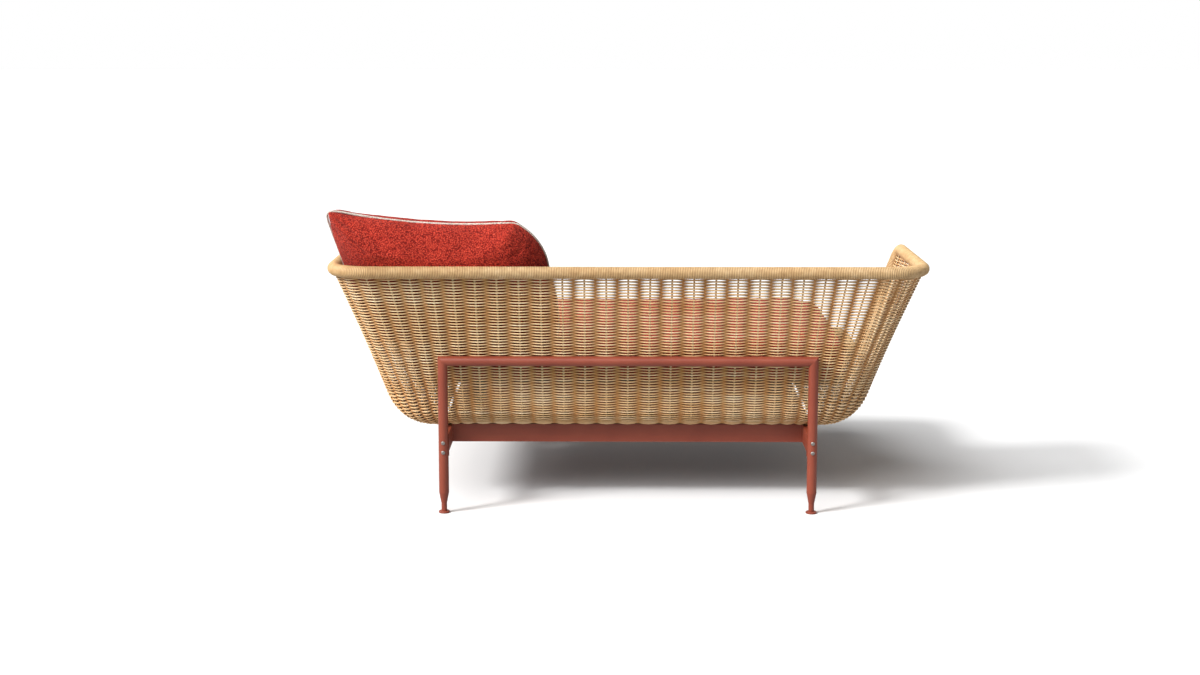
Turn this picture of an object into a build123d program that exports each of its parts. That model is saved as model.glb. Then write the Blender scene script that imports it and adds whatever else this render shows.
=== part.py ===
from build123d import *
import math
import os

os.makedirs("parts", exist_ok=True)

# Outdoor daybed, in millimetres. X runs along the back, +Y points from the high back to the low
# front, +Z is up. The work frame has its origin under the middle of the tub, on the floor, and the
# parts are moved at the end so that the origin is under the middle of the whole footprint.

# Painted leg frame
leg_spacing = 1000            # between leg centres, along X
tube_diameter = 27
tube_wall = 2
rear_rail_height = 420        # tube centre
front_rail_height = 290
taper_top = 57
taper_bottom = 27
taper_diameter = 15.5
taper_bore_rise = 6           # the bore widens this much above the outside taper

# Beams under the tub
beam_height = 50
beam_width = 25
beam_wall = 2
beam_top = 215
ring_beam_inset = 2.4         # middle of a cross beam inside the outer face of the ring
cross_bar_spacing = 233

# Plates between the legs and the end beams
bracket_height = 60
bracket_thickness = 6

# Levelling feet
foot_diameter = 31
foot_disc_height = 5
foot_edge = 1.2
foot_stem_diameter = 8
foot_stem_rise = 20           # stem above the neck
foot_side_count = 24
stem_side_count = 12
leg_bore_diameter = 8.2       # tapped bore that takes the stem
leg_bore_length = 20

# Woven tub, measured on the centre lines of its stakes and rim
rim_height = 671
low_rim_height = 345
tub_half_width = 792
tub_half_depth = 560
rim_corner_radius = 104
back_slope_share = 0.375      # the walls lean out by this share of their height
end_slope_share = 0.336
back_bend_radius = 75         # bend from the wall into the floor
end_bend_radius = 140
knee_corner_radius = 100      # plan corner where the walls would meet the floor without a bend
back_floor_run = 54           # knee of the bend to the base ring
end_floor_run = 106
ring_corner_radius = 100
ring_gap = 0.9                # stakes to the base ring
skin_ring_gap = 1.6
stake_rim_gap = 0.5
skin_rim_gap = 0.9
stake_diameter = 5
stake_side_count = 6
stake_count = 22              # in a quarter of the tub, after the one at the middle
last_back_stake_count = 11    # from the middle of the back to the last stake before a corner
first_end_stake_count = 16    # and to the first one past it
fan_start = 300               # the stakes fan out past this distance from the middle of the back
fan_margin = 100              # and up to this distance from the middle of an end
skin_thickness = 2.8
skin_gap = 0.5
weave_rib_height = 3.6        # the strands stand out over each stake by this much
rim_wrap_diameter = 34
rim_tube_diameter = 28
rim_wrap_gap = 0.2
rim_side_count = 12
rim_bend_step_count = 6       # flats along each bend of the rim
bend_step_count = 3           # flats that make the bend from the wall into the floor
arm_length = 507              # back rim to the top corner of an arm
arm_drop_lean = 82            # the front edge of an arm runs this far forward on its way down
arm_top_radius = 45
arm_foot_radius = 70
ring_size = 15
ring_wall = 1.5

# Deck that carries the mattress
trestle_inset = 15            # ends of a trestle inside the ends of the mattress
trestle_height = 20
trestle_width = 40
post_size = 25
post_inset = 70               # middle of a post inside the middle of an end beam
post_wall = 2
slat_count = 12
slat_width = 70
slat_thickness = 12
slat_inset = 27               # ends of a slat inside the front edge of the mattress
slat_corner = 6
deck_top = 350

# Seat mattress
mattress_side_gap = 79        # from the stakes, at the height of the deck
mattress_back_gap = 20
mattress_front_gap = 33
mattress_thickness = 100
mattress_crown = 14
mattress_corner_radius = 95
mattress_edge_radius = 22
mattress_corner_step_count = 5

# Rings of the mattress: inset as a share of the edge radius, and height as a share of it from the
# bottom (first three) or down from the top (last three)
mattress_ring_shares = ((1, 0), (0.25, 0.3), (0, 1))
mattress_waist_share = 0.2    # the sides draw in between the edges
mattress_crown_share = 0.9    # how far in the crown starts, as a share of the corner radius

# Pillow, in a plane that leans with the back
pillow_overhang = 17          # tip of the upper left corner outside the rim's centre line
pillow_rise = 6.9             # lower edge above the edge of the mattress
pillow_width = 622
pillow_height = 379
pillow_thickness = 176
pillow_edge_step_count = 6    # flats along each edge of the pillow
piping_diameter = 6
piping_side_count = 6
piping_gap = 0.8
pillow_rim_gap = 0.1

# Corners and edge middles of the pillow, as shares of its width and height from its lower left
pillow_corner_shares = ((0.175, 0), (0.995, 0.03), (0.957, 0.547), (0.817, 0.897), (0, 1))
pillow_middle_shares = ((0.58, 0.012), (0.99, 0.3), (0.91, 0.765), (0.44, 0.892), (0.085, 0.5))
pillow_waist_share = 0.38     # from the middle to the nearest edge, as a share of the height
pillow_level_shares = ((0.45, 1), (0.68, 0.9), (0.86, 0.66), (0.96, 0.38), (1, 0.06))

seat_gap = 0.3                # between pieces that rest on each other but do not touch
overrun = 40                  # how far cutting shapes run past what they cut
flat_limit = 0.000001         # four corners this near one plane share a flat face

# Worked out from the sizes above
tube_radius = tube_diameter / 2
rim_reach = rim_wrap_diameter / 2 + skin_rim_gap
stake_reach = rim_wrap_diameter / 2 + stake_rim_gap
stake_radius = stake_diameter / 2
skin_inner = stake_radius + skin_gap
skin_outer = skin_inner + skin_thickness
floor_height = beam_top + skin_outer
wall_drop = rim_height - floor_height
low_drop = rim_height - low_rim_height
back_wall_run = back_slope_share * wall_drop
end_wall_run = end_slope_share * wall_drop
floor_half_width = tub_half_width - end_wall_run - end_floor_run
floor_half_depth = tub_half_depth - back_wall_run - back_floor_run
back_lean_share = math.hypot(1, back_slope_share)
low_rim_half_width = tub_half_width - end_slope_share * low_drop
low_rim_y = tub_half_depth - back_slope_share * low_drop
low_share = low_drop / wall_drop
low_rim_corner_radius = rim_corner_radius + (knee_corner_radius - rim_corner_radius) * low_share
knee_half_width = tub_half_width - end_wall_run
knee_half_depth = tub_half_depth - back_wall_run
quarter_turn = math.pi / 2
deck_drop = rim_height - deck_top
mattress_half_width = tub_half_width - end_slope_share * deck_drop - mattress_side_gap
mattress_back_edge = -(tub_half_depth - back_slope_share * deck_drop - mattress_back_gap)
mattress_front_edge = tub_half_depth - back_slope_share * deck_drop - mattress_front_gap
trestle_length = 2 * (mattress_half_width - trestle_inset)
post_half_spacing = leg_spacing / 2 - post_inset
slat_length = 2 * (mattress_front_edge - slat_inset)
pillow_left = -(tub_half_width + pillow_overhang)
pillow_bottom = deck_top + mattress_thickness + pillow_rise


def rail_y(rail_height):
    """How far from the tub's middle a rail stands that touches the outside of the wall."""
    wall = tub_half_depth - back_slope_share * (rim_height - rail_height)
    return wall + (skin_outer + seat_gap + tube_radius) * back_lean_share


rear_leg_y = -rail_y(rear_rail_height)
front_leg_y = rail_y(front_rail_height)
rear_beam_y = -(floor_half_depth - ring_beam_inset)
origin_shift = (tub_half_depth - low_rim_y) / 2


# Solids with flat faces
def flat_face(corners):
    return Face(Wire.make_polygon(corners, close=True))


def faceted(rings):
    """Closed solid through rings of corners that match one to one, with flat faces between them."""
    faces = [flat_face(rings[0]), flat_face(rings[-1])]
    for near, far in zip(rings, rings[1:]):
        for a, b, c, d in zip(near, near[1:] + near[:1], far[1:] + far[:1], far):
            square = (b - a).cross(d - a).normalized()
            if abs((c - a).dot(square)) < flat_limit:
                faces.append(flat_face([a, b, c, d]))
            else:
                faces += [flat_face([a, b, c]), flat_face([a, c, d])]
    return Solid(Shell(faces))


def polygon_ring(plane, radius, side_count):
    """Corners of a regular polygon about the origin of a plane, the first on its X axis."""
    turns = [2 * math.pi * index / side_count for index in range(side_count)]
    return [plane.from_local_coords((radius * math.cos(t), radius * math.sin(t), 0)) for t in turns]


# Tub geometry: a rounded rectangle at the rim, one at the knees of the bend, and stakes between
def plan_point(distance, half_width, half_depth, corner_radius):
    """Point at a distance from the middle of the back, along a quarter of a rounded rectangle."""
    straight = half_width - corner_radius
    arc = corner_radius * quarter_turn
    if distance <= straight:
        return Vector(distance, -half_depth)
    if distance <= straight + arc:
        turn = (distance - straight) / corner_radius
        return Vector(
            straight + corner_radius * math.sin(turn),
            -half_depth + corner_radius * (1 - math.cos(turn)),
        )
    return Vector(half_width, -half_depth + corner_radius + distance - straight - arc)


def quarter_length(half_width, half_depth, corner_radius):
    return half_width + half_depth + corner_radius * (quarter_turn - 2)


rim_quarter = quarter_length(tub_half_width, tub_half_depth, rim_corner_radius)
knee_quarter = quarter_length(knee_half_width, knee_half_depth, knee_corner_radius)
stake_pitch = 2 * rim_quarter / (2 * stake_count + 1)


def knee_distance(distance):
    """Distance along the knees of the stake that meets the rim at the given distance."""
    fan = rim_quarter - fan_start - fan_margin
    knee_fan = knee_quarter - fan_start - fan_margin
    share = (distance - fan_start) / fan
    if share <= 0:
        return distance
    if share >= 1:
        return knee_quarter - (rim_quarter - distance)
    even_share = 3 / 8
    least_share = (knee_fan / fan - even_share) / (1 - even_share)
    crowd = (
        even_share * share
        + math.sin(2 * math.pi * share) / (4 * math.pi)
        + math.sin(4 * math.pi * share) / (32 * math.pi)
    )
    return fan_start + fan * (least_share * share + (1 - least_share) * crowd)


def end_weight(distance):
    """0 on the back, 1 on the ends, with a smooth change round the corner."""
    corner_start = tub_half_width - 2 * rim_corner_radius
    corner_end = tub_half_width + 2 * rim_corner_radius
    share = (distance - corner_start) / (corner_end - corner_start)
    share = min(max(share, 0), 1)
    return share * share * (3 - 2 * share)


def outside_ring(point):
    """How far a plan point is outside the base ring."""
    across = abs(point.X) - (floor_half_width - ring_corner_radius)
    along = abs(point.Y) - (floor_half_depth - ring_corner_radius)
    outer = math.hypot(max(across, 0), max(along, 0))
    return outer + min(max(across, along), 0) - ring_corner_radius


def stake_plan(distance, gap):
    """Plan points of a stake's rim end, its knee, and its foot at a gap from the base ring."""
    rim = plan_point(distance, tub_half_width, tub_half_depth, rim_corner_radius)
    knee = plan_point(
        knee_distance(distance), knee_half_width, knee_half_depth, knee_corner_radius
    )
    inward = (knee - rim).normalized()
    near = 0
    far = 2 * (back_floor_run + end_floor_run)
    for _ in range(30):
        middle = (near + far) / 2
        if outside_ring(knee + inward * middle) > gap:
            near = middle
        else:
            far = middle
    return rim, knee, knee + inward * near


def stake_corners(distance, gap=ring_gap):
    """Rim point, knee and floor end of a stake's centre line, and the bend radius at the knee."""
    rim, knee, foot = stake_plan(distance, gap)
    weight = end_weight(distance)
    bend = back_bend_radius * (1 - weight) + end_bend_radius * weight
    return (
        Vector(rim.X, rim.Y, rim_height),
        Vector(knee.X, knee.Y, floor_height),
        Vector(foot.X, foot.Y, floor_height),
        bend,
    )


def side_step(distance):
    """Direction along the wall, level, at a stake."""
    step = stake_pitch / 10
    before = stake_plan(distance - step, ring_gap)
    after = stake_plan(distance + step, ring_gap)
    return (after[0] + after[1] - before[0] - before[1]).normalized()


# Rim: one closed line round the back and arms, down the arm fronts and round the low front
def half_rim_path():
    arm_y = -tub_half_depth + arm_length
    return FilletPolyline(
        (0, -tub_half_depth, rim_height),
        (tub_half_width, -tub_half_depth, rim_height),
        (tub_half_width, arm_y, rim_height),
        (low_rim_half_width, arm_y + arm_drop_lean, low_rim_height),
        (low_rim_half_width, low_rim_y, low_rim_height),
        (0, low_rim_y, low_rim_height),
        radius=[rim_corner_radius, arm_top_radius, arm_foot_radius, low_rim_corner_radius],
    )


rim_line = half_rim_path()


def rim_planes():
    """Planes square to the rim, for each straight run and bend of its right half in turn."""
    points = []
    ends = [0]
    for edge in rim_line.edges().sort_by(rim_line):
        steps = 1 if edge.geom_type == GeomType.LINE else rim_bend_step_count
        line = edge if points == [] or (edge @ 0 - points[-1]).length < stake_radius else edge.reversed()
        points += [line @ (index / steps) for index in range(1 if points else 0, steps + 1)]
        ends.append(len(points) - 1)
    runs = [(b - a).normalized() for a, b in zip(points, points[1:])]
    tangents = [runs[0]] + [(a + b).normalized() for a, b in zip(runs, runs[1:])] + [runs[-1]]
    side = Vector(0, 0, 1)
    planes = []
    for point, tangent in zip(points, tangents):
        side = (side - tangent * side.dot(tangent)).normalized()
        planes.append(Plane(point, x_dir=side, z_dir=tangent))
    return [planes[first:last + 1] for first, last in zip(ends, ends[1:])]


def rim_bar(planes, diameter):
    return faceted([polygon_ring(plane, diameter / 2, rim_side_count) for plane in planes])


def rim_sleeve(planes):
    bore = rim_tube_diameter + 2 * rim_wrap_gap
    return rim_bar(planes, rim_wrap_diameter) - rim_bar(planes, bore)


def both_sides(shape):
    return shape + mirror(shape, about=Plane.YZ)


# Stakes
def clear_of_rim(point, direction):
    """Whether the end face of a stake at a point stays off the wrapped rim."""
    face = Plane(point, z_dir=direction)
    for index in range(stake_side_count):
        turn = 2 * math.pi * index / stake_side_count
        corner = (stake_radius * math.cos(turn), stake_radius * math.sin(turn), 0)
        if rim_line.distance_to(face.from_local_coords(corner)) < stake_reach:
            return False
    return True


def stake_top(rim, knee):
    """Highest point of a stake, going up from the knee, that stays clear of the wrapped rim."""
    low_share = 0.2
    step_share = 0.02
    while low_share < 1:
        if not clear_of_rim(knee + (rim - knee) * (low_share + step_share), rim - knee):
            break
        low_share += step_share
    for _ in range(6):
        step_share = step_share / 2
        if clear_of_rim(knee + (rim - knee) * (low_share + step_share), rim - knee):
            low_share += step_share
    return knee + (rim - knee) * low_share


def bent_line(top, knee, foot, radius):
    """Points of a line that bends at its knee, with the bend in a few flats."""
    down = (knee - top).normalized()
    inward = (foot - knee).normalized()
    turn = math.acos(down.dot(inward))
    run = radius * math.tan(turn / 2)
    to_centre = (inward - down).normalized()
    centre = knee + to_centre * (radius / math.cos(turn / 2))
    start = knee - down * run - centre
    across = down * radius
    points = [top]
    for index in range(bend_step_count + 1):
        angle = turn * index / bend_step_count
        points.append(centre + start * math.cos(angle) + across * math.sin(angle))
    if (foot - knee).length > run:
        points.append(foot)
    return points


def stake(distance, at_front):
    rim, knee, foot, bend = stake_corners(distance)
    if at_front:
        rim, knee, foot = (Vector(p.X, -p.Y, p.Z) for p in (rim, knee, foot))
    points = bent_line(stake_top(rim, knee), knee, foot, bend)
    runs = [(b - a).normalized() for a, b in zip(points, points[1:])]
    side = runs[0].cross(runs[-1]).normalized()
    before = [runs[0]] + runs
    after = runs + [runs[-1]]
    sections = [
        Plane(point, x_dir=side, z_dir=a + b) * RegularPolygon(stake_radius, stake_side_count)
        for point, a, b in zip(points, before, after)
    ]
    return loft(sections, ruled=True)


def stake_group(indices, at_front):
    """Right-hand stakes by their index from the middle of the back or front, and their mirror images."""
    solids = []
    for index in indices:
        one = stake(index * stake_pitch, at_front)
        solids.append(one)
        if index > 0:
            solids.append(mirror(one, about=Plane.YZ))
    return solids


# Woven skin: a thin shell outside the stakes, with a rib over each stake and a hollow between two
def skin_section(distance, at_front, sink):
    """Corners of the skin's cross-section in an upright plane through the rim, sunk by a depth."""
    rim, knee, foot, bend = stake_corners(distance, skin_ring_gap)
    out = (rim - foot).normalized()
    out = Vector(out.X, out.Y, 0).normalized()
    along = side_step(distance)
    skew_share = 1 / abs(out.X * along.Y - out.Y * along.X)
    knee_run = (rim - knee).dot(out)
    foot_run = (rim - foot).dot(out)
    length = math.hypot(knee_run, wall_drop)
    normal = Vector(wall_drop / length, -knee_run / length)
    down = Vector(-knee_run / length, -wall_drop / length)

    def offset_line(offset):
        top = Vector(0, rim_height) + normal * offset * skew_share
        bottom = floor_height - offset
        knee_point = top + down * ((top.Y - bottom) / (wall_drop / length))
        return bent_line(top, knee_point, Vector(-foot_run, bottom), bend + offset)

    corners = offset_line(skin_outer - sink) + offset_line(skin_inner - sink)[::-1]
    plane = Plane(origin=(rim.X, rim.Y, 0), x_dir=(out.X, out.Y, 0), z_dir=(out.Y, -out.X, 0))
    places = [plane.from_local_coords(corner) for corner in corners]
    return mirrored_ring(places, 1, -1) if at_front else places


def mirrored_ring(ring, x_sign, y_sign):
    return [Vector(x_sign * corner.X, y_sign * corner.Y, corner.Z) for corner in ring]


def skin_run(first, last, at_front):
    """Sections from one stake to another by their indices: ribs on the stakes, hollows between."""
    rings = []
    for half_step in range(2 * first, 2 * last + 1):
        sink = weave_rib_height if half_step % 2 else 0
        rings.append(skin_section(half_step * stake_pitch / 2, at_front, sink))
    return rings


def back_skin(at_front, top):
    right = skin_run(0, last_back_stake_count, at_front)
    left = [mirrored_ring(ring, -1, 1) for ring in reversed(right[1:])]
    return faceted(left + right) & below(top)


def below(height):
    """Everything under a height, around the tub."""
    reach = 2 * (tub_half_width + overrun)
    return Box(reach, reach, height, align=(Align.CENTER, Align.CENTER, Align.MIN))


def corner_skin(at_front, top):
    return faceted(skin_run(last_back_stake_count, first_end_stake_count, at_front)) & below(top)


def end_skin():
    """Right end: its top edge follows the arm, the arm's front edge and the low rim."""
    rear = skin_run(first_end_stake_count, stake_count, False)
    middle = skin_section(rim_quarter, False, weave_rib_height)
    front = [mirrored_ring(ring, 1, -1) for ring in reversed(rear)]
    panel = faceted(rear + [middle] + front)
    arm_y = -tub_half_depth + arm_length
    edge_lean = math.hypot(arm_drop_lean, low_drop) / low_drop
    edge_back = rim_reach * edge_lean
    top = rim_height - rim_reach
    low = low_rim_height - rim_reach
    slope_share = arm_drop_lean / low_drop
    far = tub_half_depth
    outline = FilletPolyline(
        (-far, top),
        (arm_y + slope_share * (rim_height - top) - edge_back, top),
        (arm_y + slope_share * (rim_height - low) - edge_back, low),
        (far, low),
        radius=[arm_top_radius - rim_reach, arm_foot_radius + rim_reach],
    )
    frame = Polyline((far, low), (far, 0), (-far, 0), (-far, top))
    profile = make_face(outline.edges() + frame.edges())
    side = Plane(origin=(0, 0, 0), x_dir=(0, 1, 0), z_dir=(1, 0, 0)) * profile
    return panel & extrude(side, amount=tub_half_width + overrun)


# Base ring
def ring_outline(inset):
    radius = ring_corner_radius - inset
    return RectangleRounded(2 * (floor_half_width - inset), 2 * (floor_half_depth - inset), radius)


def base_ring():
    bar = extrude(ring_outline(0) - ring_outline(ring_size), amount=ring_size)
    hollow = extrude(
        ring_outline(ring_wall) - ring_outline(ring_size - ring_wall), amount=ring_size - 2 * ring_wall
    )
    ring = bar - Pos(0, 0, ring_wall) * hollow
    return Pos(0, 0, beam_top) * ring


# Leg frame
def leg(side, y, rail_height):
    """Tube with a tapered lower end, a bore for the levelling foot and a mitred top."""
    bore_top = taper_top + taper_bore_rise
    inner_radius = tube_radius - tube_wall
    bore_radius = leg_bore_diameter / 2
    top = rail_height + tube_diameter
    profile = make_face(
        Polyline(
            (bore_radius, taper_bottom),
            (taper_diameter / 2, taper_bottom),
            (tube_radius, taper_top),
            (tube_radius, top),
            (inner_radius, top),
            (inner_radius, bore_top),
            (bore_radius, taper_bottom + leg_bore_length),
            close=True,
        )
    )
    tube = revolve(Plane.XZ * profile, axis=Axis.Z)
    mitre = Plane(origin=(0, 0, rail_height), z_dir=(side, 0, -1))
    tube = split(tube, bisect_by=mitre, keep=Keep.TOP)
    return Pos(side * leg_spacing / 2, y, 0) * tube


def rail(y, height):
    """Top tube of a goal-post, mitred to the two legs."""
    section = Circle(tube_radius) - Circle(tube_radius - tube_wall)
    half_length = leg_spacing / 2 + tube_diameter
    tube = extrude(Plane.YZ * section, amount=half_length, both=True)
    for side in (-1, 1):
        mitre = Plane(origin=(side * leg_spacing / 2, 0, 0), z_dir=(side, 0, -1))
        tube = split(tube, bisect_by=mitre, keep=Keep.BOTTOM)
    return Pos(0, y, height) * tube


def beam_tube(length, width):
    outer = Box(length, width, beam_height)
    inner = Box(length + overrun, width - 2 * beam_wall, beam_height - 2 * beam_wall)
    return outer - inner


beam_z = beam_top - beam_height / 2
bracket_y = tube_radius + bracket_thickness
cross_length = leg_spacing - beam_width


def cross_beam(y):
    return Pos(0, y, beam_z) * beam_tube(cross_length, beam_width)


def end_beam(side):
    """Beam between the rear and front legs, with a plate welded to each end."""
    start = rear_leg_y + bracket_y
    end = front_leg_y - bracket_y
    beam = Pos(0, (start + end) / 2, beam_z) * Rot(0, 0, 90) * beam_tube(end - start, beam_width)
    plate = Box(tube_diameter, bracket_thickness, bracket_height)
    plate_z = beam_top - bracket_height / 2
    beam += Pos(0, start - bracket_thickness / 2, plate_z) * plate
    beam += Pos(0, end + bracket_thickness / 2, plate_z) * plate
    return Pos(side * leg_spacing / 2, 0, 0) * beam


def foot(side, y):
    """Levelling foot: a disc, a neck as thick as the leg's end and a stem."""
    neck_top = taper_bottom - seat_gap
    disc = extrude(RegularPolygon(foot_diameter / 2, foot_side_count), amount=foot_disc_height)
    flats = disc.faces().sort_by(Axis.Z)
    disc = chamfer(flats[0].edges() + flats[-1].edges(), length=foot_edge)
    neck = extrude(RegularPolygon(taper_diameter / 2, foot_side_count), amount=neck_top)
    stem_outline = RegularPolygon(foot_stem_diameter / 2, stem_side_count)
    stem = extrude(stem_outline, amount=neck_top + foot_stem_rise)
    return Pos(side * leg_spacing / 2, y, 0) * (disc + neck + stem)


# Deck
trestle_z = deck_top - slat_thickness - trestle_height


def trestle(y):
    """A bar across the tub on two posts that stand on a cross bar."""
    middle = Pos(0, y, trestle_z + trestle_height / 2)
    bar = middle * Box(trestle_length, trestle_width, trestle_height)
    bar -= middle * Box(
        trestle_length + overrun, trestle_width - 2 * post_wall, trestle_height - 2 * post_wall
    )
    post_height = trestle_z - beam_top
    bore = post_size - 2 * post_wall
    post = extrude(Rectangle(post_size, post_size) - Rectangle(bore, bore), amount=post_height)
    return [bar] + [Pos(side * post_half_spacing, y, beam_top) * post for side in (-1, 1)]


def deck_slats():
    spacing = (trestle_length - slat_width) / (slat_count - 1)
    outline = Rectangle(slat_width, slat_length)
    slat = extrude(chamfer(outline.vertices(), length=slat_corner), amount=slat_thickness)
    first = -(trestle_length - slat_width) / 2
    return [
        Pos(first + index * spacing, 0, deck_top - slat_thickness) * slat
        for index in range(slat_count)
    ]


# Soft parts
def seat_mattress():
    """Mattress with rounded corners, drawn-in sides and a crowned top."""
    width = 2 * mattress_half_width
    depth = mattress_front_edge - mattress_back_edge
    bottom = deck_top + seat_gap
    top = bottom + mattress_thickness
    edge = mattress_edge_radius
    centre_y = (mattress_front_edge + mattress_back_edge) / 2

    def ring(inset, height):
        radius = mattress_corner_radius - inset
        corners = []
        for index in range(4 * (mattress_corner_step_count + 1)):
            quarter, step = divmod(index, mattress_corner_step_count + 1)
            turn = quarter_turn * (quarter + step / mattress_corner_step_count)
            middle_turn = quarter_turn * (quarter + 1 / 2)
            x = math.copysign(width / 2 - mattress_corner_radius, math.cos(middle_turn))
            y = math.copysign(depth / 2 - mattress_corner_radius, math.sin(middle_turn))
            corner = Vector(x + radius * math.cos(turn), y + radius * math.sin(turn), height)
            corners.append(corner + Vector(0, centre_y))
        return corners

    levels = [(edge * inset, bottom + edge * rise) for inset, rise in mattress_ring_shares]
    levels.append((edge * mattress_waist_share, (bottom + top) / 2))
    levels += [(edge * inset, top - edge * drop) for inset, drop in reversed(mattress_ring_shares)]
    levels.append((mattress_corner_radius * mattress_crown_share, top + mattress_crown))
    return faceted([ring(inset, height) for inset, height in levels])


def pillow_points(size_share=1):
    """Outline with pointed corners and edges that draw in between them, smaller about its middle."""
    centre_x = pillow_left + pillow_width / 2
    centre_y = pillow_height / 2

    def place(share):
        x = pillow_left + share[0] * pillow_width - centre_x
        y = share[1] * pillow_height - centre_y
        return (centre_x + x * size_share, (centre_y + y * size_share) * back_lean_share)

    corners = [place(share) for share in pillow_corner_shares]
    middles = [place(share) for share in pillow_middle_shares]
    points = []
    for start, middle, end in zip(corners, middles, corners[1:] + corners[:1]):
        edge = ThreePointArc(start, middle, end)
        points += [edge @ (index / pillow_edge_step_count) for index in range(pillow_edge_step_count)]
    return points


def pillow_plane():
    """Middle plane of the pillow: its back face clears the rim."""
    away = (rim_wrap_diameter / 2 + pillow_rim_gap + pillow_thickness / 2) * back_lean_share
    y = -tub_half_depth + away + back_slope_share * (rim_height - pillow_bottom)
    return Plane(origin=(0, y, pillow_bottom), x_dir=(1, 0, 0), z_dir=(0, -1, -back_slope_share))


def pillow():
    """Crowned pillow, thin at its seam and fullest in the middle."""
    seam_share = 1 - (piping_diameter / 2 + piping_gap) / (pillow_height * pillow_waist_share)
    half = pillow_thickness / 2
    levels = [(-depth, size) for size, depth in pillow_level_shares]
    levels += [(depth, size) for size, depth in reversed(pillow_level_shares)]
    rings = []
    for depth, size in levels:
        points = pillow_points(size * seam_share)
        rings.append([Vector(point.X, point.Y, depth * half) for point in points])
    return pillow_plane() * faceted(rings)


def pillow_piping():
    """Cord sewn along the seam, one length for each edge of the pillow."""
    points = pillow_points()
    rings = []
    for before, point, after in zip(points[-1:] + points, points, points[1:] + points[:1]):
        along = (point - before).normalized() + (after - point).normalized()
        plane = Plane(point, x_dir=(0, 0, 1), z_dir=along)
        rings.append(polygon_ring(plane, piping_diameter / 2, piping_side_count))
    rings.append(rings[0])
    place = pillow_plane()
    step = pillow_edge_step_count
    return [place * faceted(rings[first:first + step + 1]) for first in range(0, len(points), step)]


parts = {}


def keep(name, shape):
    parts[name] = shape


def build_frame():
    for side, side_name in ((-1, "left"), (1, "right")):
        keep(f"rear_leg_{side_name}", leg(side, rear_leg_y, rear_rail_height))
        keep(f"front_leg_{side_name}", leg(side, front_leg_y, front_rail_height))
        keep(f"end_beam_{side_name}", end_beam(side))
        keep(f"foot_rear_{side_name}", foot(side, rear_leg_y))
        keep(f"foot_front_{side_name}", foot(side, front_leg_y))
    keep("rear_rail", rail(rear_leg_y, rear_rail_height))
    keep("front_rail", rail(front_leg_y, front_rail_height))
    keep("rear_beam", cross_beam(rear_beam_y))
    keep("front_beam", cross_beam(-rear_beam_y))
    keep("cross_bar_rear", cross_beam(-cross_bar_spacing))
    keep("cross_bar_middle", cross_beam(0))
    keep("cross_bar_front", cross_beam(cross_bar_spacing))


def build_tub():
    planes = rim_planes()
    whole = planes[0] + [plane for run in planes[1:] for plane in run[1:]]
    keep("rim_tube", both_sides(rim_bar(whole, rim_tube_diameter)))
    sleeves = [rim_sleeve(run) for run in planes]
    keep("rim_wrap_back", both_sides(sleeves[0]))
    keep("rim_wrap_front", both_sides(sleeves[-1]))
    for name, pieces in (
        ("rim_wrap_rear_corner", sleeves[1:2]),
        ("rim_wrap_arm", sleeves[2:-2]),
        ("rim_wrap_front_corner", sleeves[-2:-1]),
    ):
        keep(f"{name}_right", pieces)
        keep(f"{name}_left", [mirror(piece, about=Plane.YZ) for piece in pieces])
    keep("base_ring", base_ring())
    first_side_stake = last_back_stake_count + 1
    keep("back_stakes", stake_group(range(first_side_stake), False))
    keep("front_stakes", stake_group(range(first_side_stake), True))
    right = []
    for index in range(first_side_stake, stake_count + 1):
        right.append(stake(index * stake_pitch, False))
        right.append(stake(index * stake_pitch, True))
    keep("end_stakes_right", right)
    keep("end_stakes_left", [mirror(one, about=Plane.YZ) for one in right])
    high_top = rim_height - rim_reach
    low_top = low_rim_height - rim_reach
    keep("back_weave", back_skin(False, high_top))
    keep("front_weave", back_skin(True, low_top))
    rear_corner = corner_skin(False, high_top)
    front_corner = corner_skin(True, low_top)
    end = end_skin()
    for name, shape in (
        ("rear_corner_weave", rear_corner),
        ("front_corner_weave", front_corner),
        ("end_weave", end),
    ):
        keep(f"{name}_right", shape)
        keep(f"{name}_left", mirror(shape, about=Plane.YZ))


def build_seat():
    keep("deck_trestle_rear", trestle(-cross_bar_spacing))
    keep("deck_trestle_middle", trestle(0))
    keep("deck_trestle_front", trestle(cross_bar_spacing))
    keep("deck_slats", deck_slats())
    keep("seat_mattress", seat_mattress())
    keep("pillow", pillow())
    keep("pillow_piping", pillow_piping())


build_frame()
build_tub()
build_seat()

for name, shape in parts.items():
    solids = shape if isinstance(shape, list) else [shape]
    moved = [Pos(0, origin_shift, 0) * solid for solid in solids]
    export_step(moved[0] if len(moved) == 1 else Compound(children=moved), f"parts/{name}.step")
    print(name, round(sum(solid.volume for solid in moved) / 1000, 1), "cm3")
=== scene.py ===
# %% [markdown]
# # A woven outdoor daybed
# The daybed is a wide woven tub on a low frame of painted tube, with a thick seat mattress and one
# big loose pillow. The CAD model fixes every size, so it is loaded first, and each new piece is
# made in place around it, in metres.

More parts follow.
